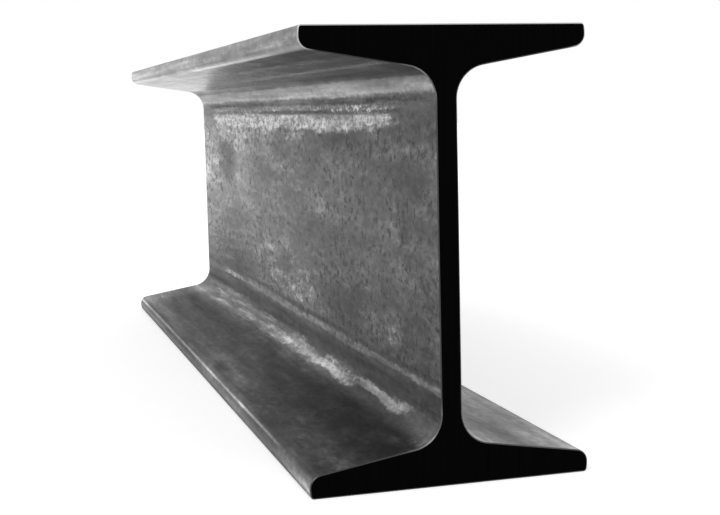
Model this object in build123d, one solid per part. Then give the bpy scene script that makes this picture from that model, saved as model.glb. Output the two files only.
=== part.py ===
"""A short sawn length of hot-rolled steel I-beam with tapered flanges, in millimetres.

The beam is one rolled solid. It stands on its bottom flange: X runs across the flanges, Y along the
beam and Z up the web. The origin is at the middle of the bottom face, halfway along the beam.
"""

import os

from build123d import *

# Driving dimensions of the rolled section.
section_depth = 101.6
flange_width = 65.5
web_thickness = 4.9
# The flanges taper, so their thickness is measured midway between the web's face and the tip.
flange_thickness = 7.44
flange_slope = 1 / 6
root_radius = 7.4
toe_radius = 2.9
outer_edge_radius = 0.7
# The rolls leave the tips free, so the steel there bulges out by this much.
tip_crown = 0.3

# Driving dimensions of the sawn piece.
beam_length = 304.8
end_edge_break = 0.25

# Places that follow from the section.
half_width = flange_width / 2
half_web = web_thickness / 2
tip_corner_x = half_width - tip_crown
overhang = tip_corner_x - half_web
tip_thickness = flange_thickness - flange_slope * overhang / 2
root_thickness = flange_thickness + flange_slope * overhang / 2

STEEL_KG_PER_MM3 = 7.85e-6


def sharp_outline():
    """The section's outline with its corners still sharp and each flange tip an outward arc."""
    with BuildLine(Plane.XZ) as outline:
        for side in (1, -1):
            web_x = side * half_web
            tip_x = side * tip_corner_x
            low_root = (web_x, root_thickness)
            high_root = (web_x, section_depth - root_thickness)
            Line(low_root, high_root)
            for root, outer_z, inner_z in (
                (low_root, 0, tip_thickness),
                (high_root, section_depth, section_depth - tip_thickness),
            ):
                inner_toe = (tip_x, inner_z)
                outer_edge = (tip_x, outer_z)
                crown = (side * half_width, (inner_z + outer_z) / 2)
                Line(root, inner_toe)
                ThreePointArc(inner_toe, crown, outer_edge)
                Line(outer_edge, (0, outer_z))
    return outline.line


def corners_at(section, x, heights):
    """The section's corners at a distance x from the web's middle, at any of the given heights."""
    near = 1e-3
    return [
        corner
        for corner in section.vertices()
        if abs(abs(corner.X) - x) < near and min(abs(corner.Z - z) for z in heights) < near
    ]


def rolled_section():
    """The finished section: fillets at the web, rounded toes and barely rounded outer edges."""
    section = make_face(sharp_outline().edges())
    toe_heights = (tip_thickness, section_depth - tip_thickness)
    root_heights = (root_thickness, section_depth - root_thickness)
    for x, heights, radius in (
        (half_web, root_heights, root_radius),
        (tip_corner_x, toe_heights, toe_radius),
        (tip_corner_x, (0, section_depth), outer_edge_radius),
    ):
        section = fillet(corners_at(section, x, heights), radius)
    return section


def sawn_beam():
    """The section run out to the beam's length, with the sharp edge taken off both sawn ends."""
    section = rolled_section()
    beam = extrude(section, amount=beam_length / 2, dir=(0, 1, 0), both=True)
    end_faces = [beam.faces().sort_by(Axis.Y)[end] for end in (0, -1)]
    end_edges = [edge for face in end_faces for edge in face.edges()]
    return chamfer(end_edges, end_edge_break)


i_beam = sawn_beam()
i_beam.label = "i_beam"
os.makedirs("parts", exist_ok=True)
export_step(i_beam, "parts/i_beam.step")

mass = i_beam.volume * STEEL_KG_PER_MM3
print(f"tip {tip_thickness:.2f} mm, root {root_thickness:.2f} mm")
print(f"mass {mass:.3f} kg, {mass / beam_length * 1000:.2f} kg per metre")
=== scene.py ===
"""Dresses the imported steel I-beam: one rolled mesh with worn mill scale and near-black sawn ends.

Lengths are in millimetres unless a name says otherwise, and MM turns them into Blender's metres.
The mesh follows the section that the solid has, with X across the flanges, Y along the beam and Z up.
"""

import math

import bpy
import numpy as np
from mathutils import Matrix, Vector, noise


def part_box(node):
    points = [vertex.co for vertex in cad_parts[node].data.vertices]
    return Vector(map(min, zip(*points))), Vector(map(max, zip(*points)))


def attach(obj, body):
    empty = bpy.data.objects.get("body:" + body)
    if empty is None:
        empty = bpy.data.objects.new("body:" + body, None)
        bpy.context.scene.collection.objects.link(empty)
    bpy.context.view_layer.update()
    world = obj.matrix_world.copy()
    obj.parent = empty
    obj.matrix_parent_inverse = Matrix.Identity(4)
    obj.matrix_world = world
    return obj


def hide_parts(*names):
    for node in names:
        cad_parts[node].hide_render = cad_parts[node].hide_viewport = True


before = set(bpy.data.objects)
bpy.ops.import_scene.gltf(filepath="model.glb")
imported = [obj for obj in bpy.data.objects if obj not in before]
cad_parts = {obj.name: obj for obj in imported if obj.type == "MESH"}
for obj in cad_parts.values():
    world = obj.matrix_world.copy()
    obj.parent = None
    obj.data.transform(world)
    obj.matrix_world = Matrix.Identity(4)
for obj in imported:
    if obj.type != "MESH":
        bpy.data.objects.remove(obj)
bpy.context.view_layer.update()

MM = 0.001

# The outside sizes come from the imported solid.
node_low, node_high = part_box("i_beam")
flange_width, beam_length, section_depth = [size / MM for size in node_high - node_low]
half_width = flange_width / 2
half_length = beam_length / 2
half_depth = section_depth / 2

# The rolled section's own sizes.
web_thickness = 4.9
flange_thickness = 7.44
flange_slope = 1 / 6
root_radius = 7.4
toe_radius = 2.9
outer_edge_radius = 0.7
tip_crown = 0.3
end_edge_break = 0.25

# Places that follow from the section, with heights measured from the middle of the depth.
half_web = web_thickness / 2
overhang = half_width - tip_crown - half_web
slope_angle = math.atan(flange_slope)
slope_stretch = math.hypot(1, flange_slope)
root_height = half_depth - flange_thickness - flange_slope * overhang / 2
root_centre = (
    half_web + root_radius,
    root_height + flange_slope * root_radius - slope_stretch * root_radius,
)
tip_thickness = flange_thickness - flange_slope * overhang / 2
crown_radius = tip_thickness**2 / (8 * tip_crown) + tip_crown / 2
crown_centre = (half_width - crown_radius, half_depth - tip_thickness / 2)

# About how far apart the mesh's points are, on straight runs and on curves.
STEP = 1.35
CURVE_STEP = 0.5
# Faces that meet at more than this angle keep a sharp edge.
SHARP_ANGLE = math.radians(28)

# The mesh's material slots.
SCALE_SLOT, EDGE_SLOT, END_SLOT = range(3)


def line(start, end, step=STEP):
    """Points from start to end, both included, about a step apart."""
    count = max(1, round(math.dist(start, end) / step))
    return [
        (start[0] + (end[0] - start[0]) * i / count, start[1] + (end[1] - start[1]) * i / count)
        for i in range(count + 1)
    ]


def arc(centre, radius, start, end):
    """Points on an arc from one angle to another, both included."""
    count = math.ceil(abs(end - start) * radius / CURVE_STEP)
    angles = [start + (end - start) * i / count for i in range(count + 1)]
    return [(centre[0] + radius * math.cos(a), centre[1] + radius * math.sin(a)) for a in angles]


def corner_centre(radius, rise, slope=0.0):
    """The centre of a tip corner's arc, which touches the crown from inside.

    It is on the line whose height is rise at the middle of the web and grows with slope.
    """
    climb = rise - crown_centre[1]
    a = 1 + slope**2
    b = slope * climb - crown_centre[0]
    c = crown_centre[0] ** 2 + climb**2 - (crown_radius - radius) ** 2
    x = (math.sqrt(b * b - a * c) - b) / a
    return x, rise + slope * x


def crown_angle(centre):
    """The angle at which a tip corner's arc runs into the crown."""
    return math.atan2(centre[1] - crown_centre[1], centre[0] - crown_centre[0])


def quarter_outline():
    """One quarter of the section, from the middle of the web's face to the middle of the top face."""
    quarter_turn = math.pi / 2
    root_arc = arc(root_centre, root_radius, 2 * quarter_turn, quarter_turn + slope_angle)
    toe_rise = root_height - flange_slope * half_web + slope_stretch * toe_radius
    toe_centre = corner_centre(toe_radius, toe_rise, flange_slope)
    edge_centre = corner_centre(outer_edge_radius, half_depth - outer_edge_radius)
    toe_end, edge_start = crown_angle(toe_centre), crown_angle(edge_centre)
    toe_arc = arc(toe_centre, toe_radius, slope_angle - quarter_turn, toe_end)
    edge_arc = arc(edge_centre, outer_edge_radius, edge_start, quarter_turn)
    runs = (
        line((half_web, 0), root_arc[0]),
        root_arc,
        line(root_arc[-1], toe_arc[0]),
        toe_arc,
        arc(crown_centre, crown_radius, toe_end, edge_start),
        edge_arc,
        line(edge_arc[-1], (0, half_depth)),
    )
    points = list(runs[0])
    for run in runs[1:]:
        points += run[1:]
    return np.array(points)


def whole_outline():
    """The closed outline, anticlockwise as seen from the near end, and each point's place across.

    The place is the distance along the surface from the web's middle, positive upwards.
    """
    quarter = quarter_outline()
    steps = np.hypot(*np.diff(quarter, axis=0).T)
    across = np.concatenate(([0], np.cumsum(steps)))
    # Each quarter's side, up or down, and the points it adds in their order, with none added twice.
    mirrored = (
        (1, 1, slice(None)),
        (-1, 1, slice(-2, None, -1)),
        (-1, -1, slice(1, None)),
        (1, -1, slice(-2, 0, -1)),
    )
    points = np.concatenate([quarter[part] * (side, up) for side, up, part in mirrored])
    places = np.concatenate([across[part] * up for side, up, part in mirrored])
    return points, places


def outline_normals(points):
    """Outward unit normals of the closed outline."""
    ahead = np.roll(points, -1, axis=0) - np.roll(points, 1, axis=0)
    normals = np.stack((ahead[:, 1], -ahead[:, 0]), axis=1)
    return normals / np.linalg.norm(normals, axis=1)[:, None]


def smooth(value, low, high):
    """0 below low and 1 above high, with a soft change between. Low may be above high."""
    t = np.clip((np.asarray(value, float) - low) / (high - low), 0, 1)
    return t * t * (3 - 2 * t)


# Marks on the scale, in mm across the surface and along from the near end. Each is the middle and
# half width across, the start and end along, and its strength. Across, the web ends 34.6 mm from its
# middle, the fillets at 45 and the flanges' inner faces at 67.5.
RUBBED_AND_HIGHLIT = (
    # The lower flange's inner face and fillet. The bright bands along the fillet are partly steel worn
    # bare and partly a painted highlight where the curved fillet mirrors the light.
    (-62.0, 7.0, 276, 330, 0.36),
    (-45.0, 3.0, -20, 14, 0.45),
    (-44.4, 1.6, 182, 320, 0.42),
    (-42.6, 1.3, 104, 190, 0.50),
    (-40.2, 2.1, 98, 158, 0.80),
    (-40.1, 1.5, 57, 122, 0.92),
    (-39.8, 3.0, 110, 290, 0.58),
    (-38.8, 1.35, 18, 46, 1.00),
    (-38.8, 1.35, 32, 66, 1.06),
    (-38.3, 1.2, 36, 112, 0.56),
    (-37.6, 1.0, 12, 38, 0.75),
    # The web.
    (-25.6, 2.0, 94, 140, 0.34),
    (-22.5, 5.0, 98, 190, 0.50),
    (-22.0, 4.5, 18, 48, 0.50),
    (-21.0, 6.0, 262, 330, 0.36),
    (-20.0, 2.8, 50, 82, 0.45),
    (-15.5, 3.0, 122, 212, 0.30),
    (25.2, 3.2, 110, 310, 0.36),
    (29.5, 2.9, 36, 140, 1.00),
    (29.6, 2.9, 84, 290, 0.80),
    (30.6, 2.2, 22, 80, 1.00),
)
# Lighter and darker patches, with strengths in doublings of the grey. Most are cloudy marks in the
# scale. The broad lightening towards the far end of the left side, on the web, fillets and flanges,
# is painted sheen where the steel is seen at a grazing angle. The strong light patches at the far
# end of the upper flange's inner face are a painted reflection of the light beyond the far end.
PATCHES_AND_SHEEN = (
    # The lower flange's tip and toe.
    (-72.5, 3.5, -40, 34, 0.75),
    (-67.2, 1.6, -40, 30, -0.35),
    (-67.2, 1.6, 50, 110, 0.70),
    (-66.5, 3.0, 110, 420, 0.18),
    (-66.5, 2.0, 200, 420, 0.62),
    (-66.5, 3.0, 250, 420, 0.35),
    # The lower flange's inner face.
    (-65.0, 4.5, 96, 158, 1.05),
    (-65.0, 1.8, 116, 138, -1.20),
    (-63.0, 5.0, 250, 420, 0.45),
    (-62.5, 5.0, -30, 180, 0.42),
    (-62.0, 6.0, 120, 290, 0.20),
    (-56.0, 12.0, 70, 420, 0.45),
    (-56.0, 6.0, 215, 278, -0.70),
    (-54.0, 15.0, 274, 340, 1.10),
    (-50.0, 5.0, 120, 190, -0.25),
    (-46.0, 10.0, 60, 420, 0.60),
    (-46.0, 3.0, 196, 420, 0.42),
    # The lower fillet.
    (-44.0, 2.4, 80, 420, 0.50),
    (-43.6, 2.0, -40, 70, 0.30),
    (-43.0, 3.0, -24, 14, 1.00),
    (-39.4, 2.4, 50, 63, -0.90),
    (-39.0, 1.6, 20, 50, 0.35),
    (-39.0, 3.0, 265, 420, -0.60),
    (-36.0, 1.5, 60, 420, -0.25),
    # The web.
    (-34.0, 2.0, 60, 250, -0.36),
    (-33.0, 2.0, -40, 40, 0.30),
    (-28.4, 1.5, -40, 110, 0.30),
    (-24.0, 5.0, 200, 262, -0.25),
    (-20.0, 6.0, 40, 110, 0.25),
    (-18.0, 8.0, 60, 112, -0.45),
    (-16.0, 10.0, 70, 220, 0.15),
    (-8.0, 6.0, 176, 246, -0.20),
    (0.0, 34.0, -80, 420, 0.06),
    # Painted sheen: the whole web lighter from 100 mm on, towards the far end.
    (0.0, 34.0, 100, 420, 0.74),
    (0.0, 10.0, 110, 260, 0.25),
    (0.0, 34.0, 286, 360, 0.20),
    (2.0, 6.0, 20, 48, -0.28),
    (6.0, 18.0, 190, 420, 0.50),
    (12.0, 16.0, 20, 120, 0.15),
    (14.0, 10.0, 212, 236, 0.38),
    (14.0, 24.0, 274, 420, 0.20),
    (15.0, 7.0, 236, 274, -0.95),
    (22.0, 12.0, 130, 420, 0.22),
    (23.0, 4.0, 8, 36, -0.25),
    (23.5, 3.0, 40, 100, -0.35),
    (24.0, 4.0, 225, 310, 0.40),
    (26.0, 4.0, 140, 300, 0.30),
    (29.8, 2.5, 44, 96, 0.35),
    (29.8, 2.5, 235, 420, 0.42),
    (30.0, 5.0, 284, 420, 0.28),
    (31.0, 4.0, -30, 16, -0.30),
    # The upper fillet.
    (39.0, 3.0, 210, 420, -0.40),
    (44.0, 3.0, 258, 420, 0.85),
    # The upper flange's inner face.
    (48.0, 7.0, -30, 16, -0.35),
    (50.0, 1.6, -30, 140, 0.50),
    # Painted reflection: this patch and the one at 56 mm light the far end of the inner face.
    (51.0, 6.0, 230, 420, 1.50),
    (54.5, 2.2, 60, 250, 0.50),
    (56.0, 12.0, 180, 420, 0.60),
    (58.0, 9.0, -40, 120, -0.32),
    (61.0, 5.5, 18, 90, -1.00),
    # The upper flange's toe and tip.
    (68.4, 2.0, -40, 76, -0.70),
    (72.0, 3.0, 120, 420, 0.35),
    (72.5, 4.0, 230, 420, 0.45),
)
# More of them on the right side alone, on its lower fillet and flange. Most are painted light: they
# make that flange lighter, as it mirrors more of the bright surroundings than the left one, and lift
# its far part out of the web's shade.
RIGHT_PATCHES_AND_LIGHT = (
    (-57.0, 15.0, -80, 380, 1.60),
    (-50.0, 22.0, -80, 140, 0.35),
    (-40.5, 5.0, 205, 300, -0.95),
    (-38.0, 6.0, -80, 380, 1.00),
)
# Long faint streaks on the left side, which a wipe across the scale has left.
WIPED = (
    (-58.0, 9.0, 150, 305, 0.5),
    (-41.0, 5.0, 150, 305, 0.9),
    (-22.0, 9.0, 120, 300, 0.6),
)
# Thin lines along the rolling, and painted highlights: the light lines along both toes and near -30,
# above the lower fillet, stand in for the light that the rounded toes and a ridge there catch. Each is
# the middle and half width across, the start and end along, how far it moves the grey, in doublings,
# and how much it adds to the rubbing.
LINES = (
    # Along the lower toe: a painted highlight, with a darker line beside it.
    (-70.2, 0.5, 150, 420, -0.50, 0.0),
    (-69.1, 0.4, 30, 420, 1.50, 0.0),
    (-69.1, 0.4, 46, 84, 0.35, 0.0),
    (-69.1, 0.4, 88, 132, -0.40, 0.0),
    (-69.1, 0.4, 150, 420, -0.22, 0.0),
    # By the fillets. The light lines near -30 are a painted highlight on a ridge above the lower
    # fillet.
    (-36.2, 0.9, -40, 420, -0.35, 0.0),
    (-30.6, 1.0, 222, 268, 1.40, 0.50),
    (-30.4, 1.2, 50, 230, 0.90, 0.0),
    (-30.0, 0.8, -40, 66, 1.15, 0.0),
    (-28.2, 0.7, -40, 240, -0.48, 0.0),
    (37.0, 0.5, 20, 260, 0.30, 0.0),
    # On the upper flange's inner face and toe; those from 68 on are a painted highlight along the toe.
    (50.0, 1.4, -40, 230, 0.80, 0.0),
    (58.5, 1.6, 20, 120, 0.35, 0.0),
    (68.1, 0.5, 30, 150, 0.65, 0.0),
    (68.9, 0.8, 160, 420, 0.20, 0.0),
)
# Lines of the same kind under the upper fillet, broken up into flecks.
FLECKED_LINES = (
    (32.4, 0.6, 20, 190, -0.75, -0.22),
    (33.7, 1.0, 22, 176, 0.85, 0.20),
    (33.8, 0.9, 168, 280, 0.85, 0.0),
    (35.3, 0.8, -40, 288, -0.95, 0.0),
    (35.3, 0.8, 150, 276, -0.35, 0.0),
)

# A mark fades to about a third this many half widths from its middle.
MARK_SPREAD = 1.15
# How far each kind of mark takes to fade at its ends, and the most that may be of a short one's length.
RUBBED_FADE = 20
PATCH_FADE = 45
WIPE_FADE = 30
LONGEST_FADE = 0.4

# Marks wander by up to about this far across and along, over stretches of about WANDER_SIZE. The seed
# settles where to, which would otherwise change from run to run.
WANDER_ACROSS = 2.2
WANDER_ALONG = 10
WANDER_SIZE = 21
WANDER_SEED = 1795625043
# Within the first distance from the lines at the web's edges they wander this share of it across, and
# from the second distance on they wander all of it.
EDGE_LINES = 33
EDGE_SHARE = 0.25
EDGE_REACH = (2, 12)

# The right side carries the left side's wear and painted light turned end for end and moved along by
# this much.
RIGHT_SHIFT = 60

# The surface's long and short waves and its grain where it is rubbed: how far they rise and how wide
# they are.
LONG_WAVE_RISE, LONG_WAVE_SIZE = 0.05, 70
SHORT_WAVE_RISE, SHORT_WAVE_SIZE = 0.012, 16
GRAIN_RISE, GRAIN_SIZE = 0.03, 2.9


def marked(marks, across, along, fade):
    """Each mark's amount at every place.

    It is strongest at the mark's middle. It comes in from half a fade before the start to a whole one
    past it, and goes out at the end in the same way.
    """
    for middle, half, start, end, strength in marks:
        soft = min(fade, (end - start) * LONGEST_FADE)
        beside = np.exp(-((np.abs(across - middle) / (half * MARK_SPREAD)) ** 3))
        coming_in = smooth(along, start - soft / 2, start + soft)
        going_out = smooth(along, end + soft / 2, end - soft)
        yield strength * beside * (coming_in * going_out)


def wandered(across, along, places):
    """The places across and along, shifted here and there so that no mark has a straight edge."""
    noise.seed_set(WANDER_SEED)
    shifts = np.array([noise.noise_vector(Vector(place) / WANDER_SIZE) for place in places])
    away = smooth(np.abs(np.abs(across) - EDGE_LINES), *EDGE_REACH)
    share = EDGE_SHARE + (1 - EDGE_SHARE) * away
    return across + WANDER_ACROSS * shifts[:, 0] * share, along + WANDER_ALONG * shifts[:, 1]


def wear_and_light(x, across, along, places):
    """How rubbing, patches and wiping mark every place, by name, with painted highlight and sheen among
    them.
    """
    wandering = wandered(across, along, places)
    rubbed_and_highlit = np.maximum.reduce(list(marked(RUBBED_AND_HIGHLIT, *wandering, RUBBED_FADE)))
    patched_and_lit = sum(marked(PATCHES_AND_SHEEN, *wandering, PATCH_FADE))
    patched_and_lit += np.where(x > 0, sum(marked(RIGHT_PATCHES_AND_LIGHT, *wandering, PATCH_FADE)), 0)
    wiped = np.where(x < 0, np.maximum.reduce(list(marked(WIPED, *wandering, WIPE_FADE))), 0)
    return {"rubbed_and_highlit": rubbed_and_highlit, "patched_and_lit": patched_and_lit, "wiped": wiped}


def relief(places, rubbed_and_highlit):
    """How far the surface stands off the true section at each place, along its normal."""
    heights = []
    for place, rub in zip(places, rubbed_and_highlit):
        at = Vector(place)
        long_wave = LONG_WAVE_RISE * noise.noise(at / LONG_WAVE_SIZE)
        short_wave = SHORT_WAVE_RISE * noise.noise(at / SHORT_WAVE_SIZE)
        grain = GRAIN_RISE * rub * noise.noise(at / GRAIN_SIZE)
        heights.append(long_wave + short_wave + grain)
    return np.array(heights)


def ring_faces(count, rings):
    """The quads between rings of count points each, then the near and the far sawn face."""
    faces = []
    for ring in range(rings - 1):
        for i in range(count):
            near, near_next = ring * count + i, ring * count + (i + 1) % count
            faces.append((near, near + count, near_next + count, near_next))
    last = (rings - 1) * count
    faces.append(tuple(range(count)))
    faces.append(tuple(last + i for i in reversed(range(count))))
    return faces


def beam_mesh():
    """The beam's surface as rings of quads from end to end, closed by a flat sawn face at each end."""
    outline, across = whole_outline()
    normals = outline_normals(outline)
    count = len(outline)
    body_end = half_length - end_edge_break
    body = [y for _, y in line((0, -body_end), (0, body_end))]
    stations = np.array([-half_length, *body, half_length])
    rings = len(stations)

    x, z = np.tile(outline.T, (1, rings))
    y = np.repeat(stations, count)
    places = np.stack((x, y, z), axis=1)
    across = np.tile(across, rings)
    from_near = y + half_length
    along = np.where(x < 0, from_near, beam_length - RIGHT_SHIFT - from_near)
    # The marks hold painted highlight, painted sheen and painted light as well as wear.
    worn = wear_and_light(x, across, along, places)

    # The underside has no relief, because the beam stands on it.
    underside = across < half_width - across.max()
    heights = np.where(underside, 0, relief(places, worn["rubbed_and_highlit"]))
    inset = np.where(np.abs(y) == half_length, -end_edge_break, 0)
    off = heights + inset
    nx, nz = np.tile(normals.T, (1, rings))
    points = np.stack((x + off * nx, y, z + off * nz + half_depth), axis=1) * MM

    faces = ring_faces(count, rings)
    mesh = bpy.data.meshes.new("rolled_i_beam")
    mesh.from_pydata(points.tolist(), [], faces)
    for name, values in {"across": across, "along": along, **worn}.items():
        attribute = mesh.attributes.new(name, "FLOAT", "POINT")
        attribute.data.foreach_set("value", values.astype(np.float32))

    slots = np.full(len(faces), SCALE_SLOT, dtype=np.int32)
    slots[:count] = slots[-2 - count : -2] = EDGE_SLOT
    slots[-2:] = END_SLOT
    mesh.polygons.foreach_set("material_index", slots)
    mesh.update()
    mesh.shade_smooth()
    mesh.set_sharp_from_angle(angle=SHARP_ANGLE)
    return mesh


# Texture is twice as long this far past the near end as at that end.
GROWING_REACH = 277
# The logarithm that makes it so has no value too far before the near end. On the floor there, places
# count as no further off than this share of that distance.
GROWING_START = -0.5

# The curves below run this far both ways from the web's middle, just past the flanges' tips.
CURVE_REACH = 76


class Surface:
    """Short calls that add nodes to one material. A value is a number or another node's output."""

    def __init__(self, name):
        self.material = bpy.data.materials.new(name)
        self.material.use_nodes = True
        self.tree = self.material.node_tree
        self.shader = self.tree.nodes["Principled BSDF"]
        self.spot = None

    def node(self, kind, inputs=(), **settings):
        """A new node with its inputs and settings."""
        made = self.tree.nodes.new(kind)
        for key, value in settings.items():
            setattr(made, key, value)
        for key, value in dict(inputs).items():
            self.put(made.inputs[key], value)
        return made

    def put(self, socket, value):
        """Sets a socket to a number or links it to another node's output."""
        if isinstance(value, bpy.types.NodeSocket):
            self.tree.links.new(value, socket)
        else:
            socket.default_value = value

    def shade(self, inputs):
        """Sets some of the shader's inputs."""
        for name, value in inputs.items():
            self.put(self.shader.inputs[name], value)

    def bump(self, height, strength, rise):
        """Tilts the shader's normal like a relief that rises by so much where the height is 1."""
        inputs = {"Height": height, "Strength": strength, "Distance": rise * MM}
        self.shade({"Normal": self.node("ShaderNodeBump", inputs).outputs["Normal"]})

    def math(self, operation, *values):
        """One step of arithmetic."""
        inputs = dict(enumerate(values))
        return self.node("ShaderNodeMath", inputs, operation=operation).outputs[0]

    def product(self, first, *others):
        """The values multiplied together."""
        total = first
        for value in others:
            total = self.math("MULTIPLY", total, value)
        return total

    def sum(self, *parts):
        """The parts added up, each a value and its weight."""
        total = 0.0
        for value, weight in parts:
            total = self.math("MULTIPLY_ADD", value, weight, total)
        return total

    def doubled(self, level, times):
        """A level doubled so many times, or halved where they are below 0."""
        return self.product(level, self.math("POWER", 2.0, times))

    def off(self, value, middle):
        """How far a value is from a middle one, either way."""
        return self.math("ABSOLUTE", self.math("SUBTRACT", value, middle))

    def centred(self, value):
        """A noise moved so that it varies about 0."""
        return self.math("SUBTRACT", value, 0.5)

    def mix(self, factor, low, high):
        """A value that goes from low to high as the factor goes from 0 to 1."""
        made = self.node("ShaderNodeMix", {"Factor": factor}, data_type="FLOAT")
        self.put(made.inputs[2], low)
        self.put(made.inputs[3], high)
        return made.outputs[0]

    def ramp(self, value, low, high, to_low=0.0, to_high=1.0):
        """Moves a value from one range to another with soft ends."""
        inputs = {
            "Value": value,
            "From Min": low,
            "From Max": high,
            "To Min": to_low,
            "To Max": to_high,
        }
        made = self.node("ShaderNodeMapRange", inputs, interpolation_type="SMOOTHSTEP")
        return made.outputs["Result"]

    def curve(self, across, stops):
        """A level that changes across the surface and runs straight from stop to stop."""
        inputs = {"Value": across, "From Min": -CURVE_REACH, "From Max": CURVE_REACH}
        share = self.node("ShaderNodeMapRange", inputs).outputs["Result"]
        ramp = self.node("ShaderNodeValToRGB", {"Fac": share})
        elements = ramp.color_ramp.elements
        while len(elements) < len(stops):
            elements.new(0.5)
        for element, (at, level) in zip(elements, stops):
            element.position = (at + CURVE_REACH) / (2 * CURVE_REACH)
            element.color = (level, level, level, 1)
        return ramp.outputs["Color"]

    def grey(self, level):
        """A colour with the same level of red, green and blue."""
        inputs = {"Red": level, "Green": level, "Blue": level}
        return self.node("ShaderNodeCombineColor", inputs).outputs["Color"]

    def attribute(self, name):
        """One of the mesh's own values at each place."""
        return self.node("ShaderNodeAttribute", attribute_name=name).outputs["Fac"]

    def receding(self):
        """The surface's own place, with Y drawn out so that texture lengthens towards the far end."""
        if self.spot is None:
            own_place = self.node("ShaderNodeTexCoord").outputs["Object"]
            parts = self.node("ShaderNodeSeparateXYZ", {"Vector": own_place}).outputs
            reach = GROWING_REACH * MM
            from_near = self.math("ADD", parts["Y"], half_length * MM)
            from_near = self.math("MAXIMUM", from_near, GROWING_START * reach)
            growth = self.math("MULTIPLY_ADD", from_near, 1 / reach, 1.0)
            grown = self.math("LOGARITHM", growth, math.e)
            inputs = {"X": parts["X"], "Y": self.product(grown, reach), "Z": parts["Z"]}
            self.spot = self.node("ShaderNodeCombineXYZ", inputs).outputs[0]
        return self.spot

    def place(self, stretch=(1, 1, 1), turn=0.0):
        """The surface's own place in millimetres, turned about X and then stretched."""
        spot = self.receding()
        if turn:
            inputs = {"Vector": spot, "Angle": turn}
            turned = self.node("ShaderNodeVectorRotate", inputs, rotation_type="X_AXIS")
            spot = turned.outputs["Vector"]
        scale = [1 / (MM * s) for s in stretch]
        return self.node("ShaderNodeMapping", {"Vector": spot, "Scale": scale}).outputs["Vector"]

    def noise(self, place, size, detail=2.0, roughness=0.5):
        """Cloudy noise whose features are about size wide, from 0 to 1."""
        inputs = {"Vector": place, "Scale": 1 / size, "Detail": detail, "Roughness": roughness}
        return self.node("ShaderNodeTexNoise", inputs).outputs["Fac"]

    def drawn(self, width, times_longer, detail, roughness):
        """Noise whose features are drawn out along the rolling, times_longer as long as wide."""
        return self.noise(self.place((1, times_longer, 1)), width, detail, roughness)


# Grey of the scale across the surface, from the lower tip to the upper one. The light band from 36.8
# to 40.2 is a painted highlight along the upper fillet. The light stops at 67.8 and 68.6 are a
# painted highlight along the upper toe.
TONES_AND_HIGHLIGHTS = (
    (-75.0, 0.120),
    (-73.9, 0.060),
    (-72.6, 0.072),
    (-72.1, 0.145),
    (-70.5, 0.140),
    (-69.3, 0.105),
    (-68.4, 0.060),
    (-60.0, 0.052),
    (-50.0, 0.037),
    (-44.0, 0.048),
    (-41.5, 0.066),
    (-33.0, 0.070),
    (-29.3, 0.092),
    (-12.0, 0.100),
    (8.0, 0.115),
    (26.0, 0.110),
    (36.2, 0.095),
    (36.8, 0.235),
    (40.2, 0.250),
    (40.9, 0.070),
    (50.0, 0.057),
    (67.3, 0.050),
    (67.8, 0.380),
    (68.6, 0.360),
    (69.0, 0.200),
    (69.5, 0.150),
    (70.0, 0.260),
    (74.2, 0.255),
    (76.0, 0.140),
)
# Roughness across the surface. Inside the upper flange the scale is smooth enough to mirror the light
# beyond the far end.
ROUGHNESS = (
    (-75.0, 0.58),
    (-68.0, 0.65),
    (-46.0, 0.65),
    (-42.0, 0.60),
    (-30.0, 0.62),
    (30.0, 0.62),
    (38.0, 0.45),
    (41.0, 0.45),
    (45.0, 0.26),
    (67.0, 0.24),
    (70.0, 0.50),
    (75.0, 0.50),
)
# How much the streaks left by rolling show across the surface.
BRUSHED = (
    (-76.0, 0.4),
    (-74.0, 0.9),
    (-68.0, 0.7),
    (-64.0, 0.25),
    (-46.0, 0.25),
    (-38.0, 0.8),
    (-29.0, 0.8),
    (-26.0, 0.05),
    (27.0, 0.05),
    (35.0, 1.0),
    (42.0, 1.0),
    (50.0, 0.8),
    (74.0, 0.9),
    (76.0, 0.4),
)

# Ramps across the surface. Each has the place where it is 0 and the place where it is 1, or two places
# and the values there. The first two count both ways from the web's middle.
ON_WEB = (34, 27)
LINES_STRAY = (46, 66, 1.0, 0.1)
IN_LOWER_FLANGE = (-34, -37)
GLOSS_START = (42, 46)
GLOSS_END = (69, 67)
# Ramps of the same kind along it.
SOLID_RUBBING = (175, 140)
DRAWN_RUBBING = (125, 165)
NEAR_GLOSS = (240, 120)
FAR_CALM = (160, 260, 1.0, 0.7)
NEAR_CONTRAST = (50, 0, 1.0, 1.35)
GLOSS_SMOOTHING = (-20, 250, 1.35, 0.85)

# A thin line is full up to one share of its half width and gone at the other. At its ends it comes in
# from LINE_LEAD before to LINE_FADE inside.
LINE_FULL, LINE_GONE = 0.5, 1.3
LINE_LEAD, LINE_FADE = 4, 12
# Rubbing goes through the scale where it is above this.
RUBBED_THROUGH = 0.4
# No part of the scale is lighter than this.
LIGHTEST = 0.7


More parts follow.
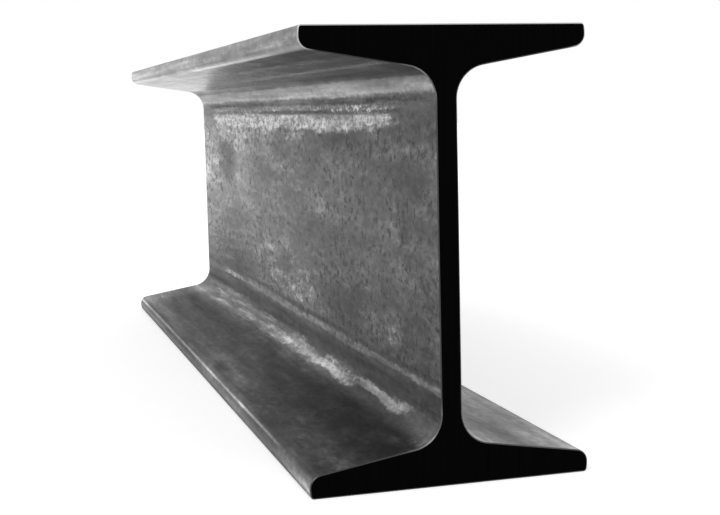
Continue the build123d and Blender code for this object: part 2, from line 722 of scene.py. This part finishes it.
class MillScale(Surface):
    """Worn mill scale: cloudy grey with pits and streaks along the rolling, bright in places where
    rubbing has worn it, with painted highlights along the toes and fillets and painted sheen towards
    the far end.
    """

    def __init__(self):
        super().__init__("mill_scale")
        self.across, self.along = self.attribute("across"), self.attribute("along")
        self.off_middle = self.math("ABSOLUTE", self.across)

        self.cloud = self.drawn(13, 3.5, 3.0, 0.6)
        self.mottle = self.drawn(4.6, 3.0, 4.0, 0.6)
        self.grain = self.drawn(1.5, 2.2, 3.0, 0.65)
        self.fleck = self.drawn(0.9, 1.5, 2.0, 0.6)
        self.flake = self.drawn(1.4, 2.0, 4.0, 0.7)
        self.ragged = self.drawn(2.6, 4, 4.0, 0.65)
        self.band = self.drawn(2.8, 16, 3.0, 0.6)
        self.streak = self.drawn(1.1, 30, 3.0, 0.65)

        self.brushed = self.curve(self.across, BRUSHED)
        # Inside the upper flange the scale is glossy, and its near half shows fewer fine streaks.
        self.glossy = self.product(
            self.ramp(self.across, *GLOSS_START), self.ramp(self.across, *GLOSS_END)
        )
        self.near_glossy = self.product(self.glossy, self.ramp(self.along, *NEAR_GLOSS))

    def strayed(self):
        """The place across, moved about so that lines by the fillets wander and the toes' hardly do."""
        bend = self.noise(self.place((9, 60, 9)), 1.0, 2.0)
        stray = self.sum(
            (self.centred(bend), 2.2),
            (self.centred(self.ragged), 1.2),
            (self.centred(self.flake), 1.8),
        )
        share = self.ramp(self.off_middle, *LINES_STRAY)
        return self.math("MULTIPLY_ADD", stray, share, self.across)

    def lines(self, strayed):
        """The thin lines' share of the grey, in doublings, and all the rubbing, theirs included.
        Painted highlights are among the lines, and the rubbing is partly painted highlight along the
        lower fillet.
        """
        flecked = self.ramp(self.fleck, 0.38, 0.62, 0.4, 1.35)
        rows = [(row, 1.0) for row in LINES] + [(row, flecked) for row in FLECKED_LINES]
        lined, rubbed_and_highlit = 0.0, self.attribute("rubbed_and_highlit")
        for (middle, half, start, end, doublings, rub), texture in rows:
            beside = self.ramp(self.off(strayed, middle), half * LINE_GONE, half * LINE_FULL)
            coming_in = self.ramp(self.along, start - LINE_LEAD, start + LINE_FADE)
            going_out = self.ramp(self.along, end + LINE_LEAD, end - LINE_FADE)
            here = self.product(coming_in, going_out, beside, texture)
            lined = self.math("MULTIPLY_ADD", here, doublings, lined)
            rubbed_and_highlit = self.math("MULTIPLY_ADD", here, rub, rubbed_and_highlit)
        return lined, rubbed_and_highlit

    def pits(self):
        """Small pits on the web, which crowd together in places."""
        spots = self.drawn(1.6, 1.2, 3.0, 0.55)
        crowd = self.ramp(self.cloud, 0.3, 0.7, 0.59, 0.48)
        deep = self.ramp(self.math("SUBTRACT", spots, crowd), 0.0, 0.14)
        return self.product(deep, self.ramp(self.off_middle, *ON_WEB))

    def bare_steel_and_highlight(self, rubbed_and_highlit):
        """Where rubbing has bared the steel, and how far that moves the grey, in doublings. Along the
        lower fillet it is partly painted highlight.

        It is solid inside the lower flange, where its far half is drawn out along the rolling. It is
        grainy elsewhere, and missing where the scale is glossy.
        """
        in_flange = self.ramp(self.across, *IN_LOWER_FLANGE)
        solid = self.product(in_flange, self.ramp(self.along, *SOLID_RUBBING))
        drawn_out = self.product(in_flange, self.ramp(self.along, *DRAWN_RUBBING))
        flake = self.centred(self.mix(drawn_out, self.flake, self.drawn(1.8, 8, 4.0, 0.65)))
        depth = self.sum(
            (rubbed_and_highlit, 1.0),
            (self.product(flake, self.mix(solid, 1.4, 1.25)), 1.0),
            (self.centred(self.ragged), 0.6),
            (RUBBED_THROUGH, -1.0),
        )
        bare = self.ramp(depth, -0.1, self.mix(solid, 0.6, 0.45))
        bare = self.product(bare, self.ramp(self.glossy, 0.5, 0.0))
        speckled = self.mix(solid, self.mix(drawn_out, 1.0, 0.3), 0.4)
        specks = self.product(bare, speckled, self.ramp(self.fleck, 0.50, 0.36))
        brightened = self.sum(
            (bare, 1.9),
            (self.product(bare, flake), self.mix(solid, 1.3, 0.8)),
            (specks, -1.0),
        )
        return bare, brightened

    def level(self, strayed, lined, pits, brightened):
        """How light the scale is: its tone across the surface, doubled up and down by all the rest,
        painted highlights and sheen included.
        """
        lively = self.product(self.ramp(self.along, *FAR_CALM), self.ramp(self.along, *NEAR_CONTRAST))
        # The glossy inner face of the upper flange has long bands and little grain.
        grainy = self.mix(self.glossy, self.mix(self.brushed, 2.2, 1.9), 0.5)
        bands = self.product(self.centred(self.band), self.brushed)
        streaks = self.product(self.centred(self.streak), self.brushed)
        # The wipe went a little across the rolling.
        wipe = self.noise(self.place((1, 14, 1), turn=0.10), 3.0, 3.0, 0.6)
        change = self.sum(
            (self.centred(self.cloud), self.mix(self.brushed, 3.6, 1.3)),
            (self.centred(self.mottle), self.product(lively, self.mix(self.brushed, 4.2, 0.6))),
            (self.centred(self.grain), self.product(lively, grainy)),
            (bands, self.mix(self.glossy, 3.4, 3.0)),
            (streaks, self.mix(self.near_glossy, 2.6, 0.3)),
            (self.product(self.centred(wipe), self.attribute("wiped")), 4.0),
            (pits, -1.1),
            (self.attribute("patched_and_lit"), 1.0),
            (lined, 1.0),
            (brightened, 1.0),
        )
        level = self.doubled(self.curve(strayed, TONES_AND_HIGHLIGHTS), change)
        return self.math("MINIMUM", level, LIGHTEST)

    def roughness(self, lined, bare):
        """How rough the scale is, combed by the rolling and smoother along the light glossy lines."""
        streaky = self.ramp(self.streak, 0.35, 0.65, 0.85, 1.2)
        banded = self.ramp(self.band, 0.35, 0.65, 0.88, 1.16)
        scale = self.product(
            self.curve(self.across, ROUGHNESS),
            self.ramp(self.mottle, 0.35, 0.65, 0.88, 1.14),
            self.mix(self.brushed, 1.0, self.mix(self.near_glossy, streaky, banded)),
            self.mix(self.glossy, 1.0, self.ramp(self.along, *GLOSS_SMOOTHING)),
        )
        scale = self.doubled(scale, self.product(lined, self.glossy, -0.7))
        return self.mix(bare, scale, 0.5)

    def height(self, pits, bare):
        """The fine relief that is left to shading."""
        return self.sum(
            (self.grain, 0.5),
            (self.mottle, 0.5),
            (pits, -0.5),
            (bare, 0.4),
            (self.product(self.streak, self.brushed), 0.4),
        )


def scale_material():
    """The beam's rolled surface."""
    s = MillScale()
    strayed = s.strayed()
    lined, rubbed_and_highlit = s.lines(strayed)
    pits = s.pits()
    bare, brightened = s.bare_steel_and_highlight(rubbed_and_highlit)
    colour = s.grey(s.level(strayed, lined, pits, brightened))
    s.shade({"Base Color": colour, "Roughness": s.roughness(lined, bare), "Metallic": 0.9})
    s.bump(s.height(pits, bare), s.mix(s.glossy, 0.5, 0.02), 0.1)
    return s.material


# The broken edge is bright by the fillets, counted from their middles, and brightest on the upper tips.
# That brightness is partly bare steel and partly painted highlight, where the edge catches the light.
FILLET_MIDDLE = 40
ON_FILLET = (9, 5)
ON_UPPER_TIP = (65, 69)
# By the fillets it is dimmer at the end where the places along are high, as painted shade.
EDGE_DIMMING = (150, 240, 1.0, 0.3)


def edge_material():
    """The broken edge round a sawn end, worn down to bare steel and lit in places by painted highlight.
    """
    s = Surface("highlit_rubbed_edge")
    patch = s.noise(s.place(), 9, 3.0)
    across = s.attribute("across")
    on_fillet = s.ramp(s.off(s.math("ABSOLUTE", across), FILLET_MIDDLE), *ON_FILLET)
    on_tip = s.ramp(across, *ON_UPPER_TIP)
    dimming = s.ramp(s.attribute("along"), *EDGE_DIMMING)
    bright = s.product(s.ramp(patch, 0.35, 0.65, 0.07, 0.20), dimming)
    level = s.mix(on_tip, s.mix(on_fillet, 0.05, bright), 0.40)
    rough = s.ramp(patch, 0.3, 0.7, 0.5, 0.35)
    s.shade({"Base Color": s.grey(level), "Roughness": rough, "Metallic": 0.85})
    return s.material


def end_material():
    """The sawn end, dull near-black with faint upright saw marks."""
    s = Surface("blackened_end")
    marks = s.noise(s.place((1, 1, 40)), 0.8, 2.0)
    patch = s.noise(s.place(), 9, 3.0)
    level = s.product(s.ramp(marks, 0.2, 0.8, 0.6, 1.4), s.ramp(patch, 0.3, 0.7, 0.0006, 0.0012))
    rough = s.ramp(patch, 0.3, 0.7, 0.8, 0.95)
    s.shade({"Base Color": s.grey(level), "Roughness": rough, "Specular IOR Level": 0.02})
    s.bump(marks, 0.3, 0.05)
    return s.material


def make_beam():
    """The one visible piece, in place of the plain solid."""
    beam = bpy.data.objects.new("rolled_i_beam", beam_mesh())
    for material in (scale_material(), edge_material(), end_material()):
        beam.data.materials.append(material)
    bpy.context.scene.collection.objects.link(beam)
    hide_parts("i_beam")
    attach(beam, "root")


# The photograph's view, fitted to the section's edges.
CAMERA_PLACE = (-98.42, -427.69, 83.93)
YAW, PITCH, ROLL = [math.radians(angle) for angle in (15.845, 6.338, 1.385)]
FOCAL_LENGTH, SENSOR_WIDTH = 67.15, 36
CLIP_START = 10


def make_camera():
    """A camera that looks down the beam from its near left."""
    flat = math.cos(PITCH)
    ahead = Vector((math.sin(YAW) * flat, math.cos(YAW) * flat, -math.sin(PITCH)))
    level_right = Vector((math.cos(YAW), -math.sin(YAW), 0))
    level_up = level_right.cross(ahead)
    turn = Matrix.Rotation(ROLL, 3, ahead)
    axes = Matrix((turn @ level_right, turn @ level_up, -ahead)).transposed()
    camera = bpy.data.objects.new("camera", bpy.data.cameras.new("camera"))
    camera.data.lens = FOCAL_LENGTH
    camera.data.sensor_width = SENSOR_WIDTH
    camera.data.clip_start = CLIP_START * MM
    camera.matrix_world = Matrix.Translation(Vector(CAMERA_PLACE) * MM) @ axes.to_4x4()
    bpy.context.scene.collection.objects.link(camera)
    bpy.context.scene.camera = camera


WHITE = (1, 1, 1, 1)
# The floor reaches this far each way. It is a hair lower than the beam, so that the two never coincide.
FLOOR_REACH = 6000
FLOOR_DROP = 0.05
FLOOR_COLOUR = (0.86, 0.86, 0.86, 1)
# It glows more further off, at two distances from the beam with the strengths there.
FLOOR_GLOW = (150, 1200, 0.40, 0.78)
# All round is white for the camera and the steel's gloss, and other light from it is this strong.
WORLD_LIGHT = 0.6


def make_floor():
    """A broad pale floor that looks white where nothing shades it."""
    s = Surface("pale_floor")
    path = s.node("ShaderNodeLightPath").outputs
    seen = s.math("MAXIMUM", path["Is Camera Ray"], path["Is Glossy Ray"])
    away = s.node("ShaderNodeVectorMath", {0: s.place()}, operation="LENGTH").outputs["Value"]
    glow = s.product(seen, s.ramp(away, *FLOOR_GLOW))
    s.shade({"Base Color": FLOOR_COLOUR, "Roughness": 0.9, "Specular IOR Level": 0.1})
    s.shade({"Emission Color": WHITE, "Emission Strength": glow})
    reach = FLOOR_REACH * MM
    corners = [(-reach, -reach, 0), (reach, -reach, 0), (reach, reach, 0), (-reach, reach, 0)]
    mesh = bpy.data.meshes.new("floor")
    mesh.from_pydata(corners, [], [(0, 1, 2, 3)])
    mesh.materials.append(s.material)
    floor = bpy.data.objects.new("floor", mesh)
    floor.location.z = -FLOOR_DROP * MM
    bpy.context.scene.collection.objects.link(floor)


def make_world():
    """Soft even light from all round, which the camera and the steel's gloss see as white."""
    world = bpy.data.worlds.new("studio")
    world.use_nodes = True
    bpy.context.scene.world = world
    nodes, links = world.node_tree.nodes, world.node_tree.links
    background = nodes["Background"]
    background.inputs["Color"].default_value = WHITE
    path = nodes.new("ShaderNodeLightPath")
    seen = nodes.new("ShaderNodeMath")
    seen.operation = "MAXIMUM"
    links.new(path.outputs["Is Camera Ray"], seen.inputs[0])
    links.new(path.outputs["Is Glossy Ray"], seen.inputs[1])
    level = nodes.new("ShaderNodeMapRange")
    level.inputs["To Min"].default_value = WORLD_LIGHT
    level.inputs["To Max"].default_value = 1.0
    links.new(seen.outputs[0], level.inputs["Value"])
    links.new(level.outputs["Result"], background.inputs["Strength"])


def make_lamp(name, place, size, watts):
    """A soft square lamp that points at the beam's middle. Place and size are in metres."""
    lamp = bpy.data.objects.new(name, bpy.data.lights.new(name, "AREA"))
    lamp.data.energy = watts
    lamp.data.size = size
    lamp.location = place
    aim = Vector((0, 0, half_depth * MM)) - Vector(place)
    lamp.rotation_euler = aim.to_track_quat("-Z", "Y").to_euler()
    bpy.context.scene.collection.objects.link(lamp)


bpy.context.scene.view_settings.view_transform = "Standard"
make_camera()
make_world()
make_floor()
make_lamp("key_lamp", (-1.1, -0.9, 1.2), 0.9, 14)
make_lamp("fill_lamp", (1.3, -0.4, 0.9), 1.2, 6)
make_beam()
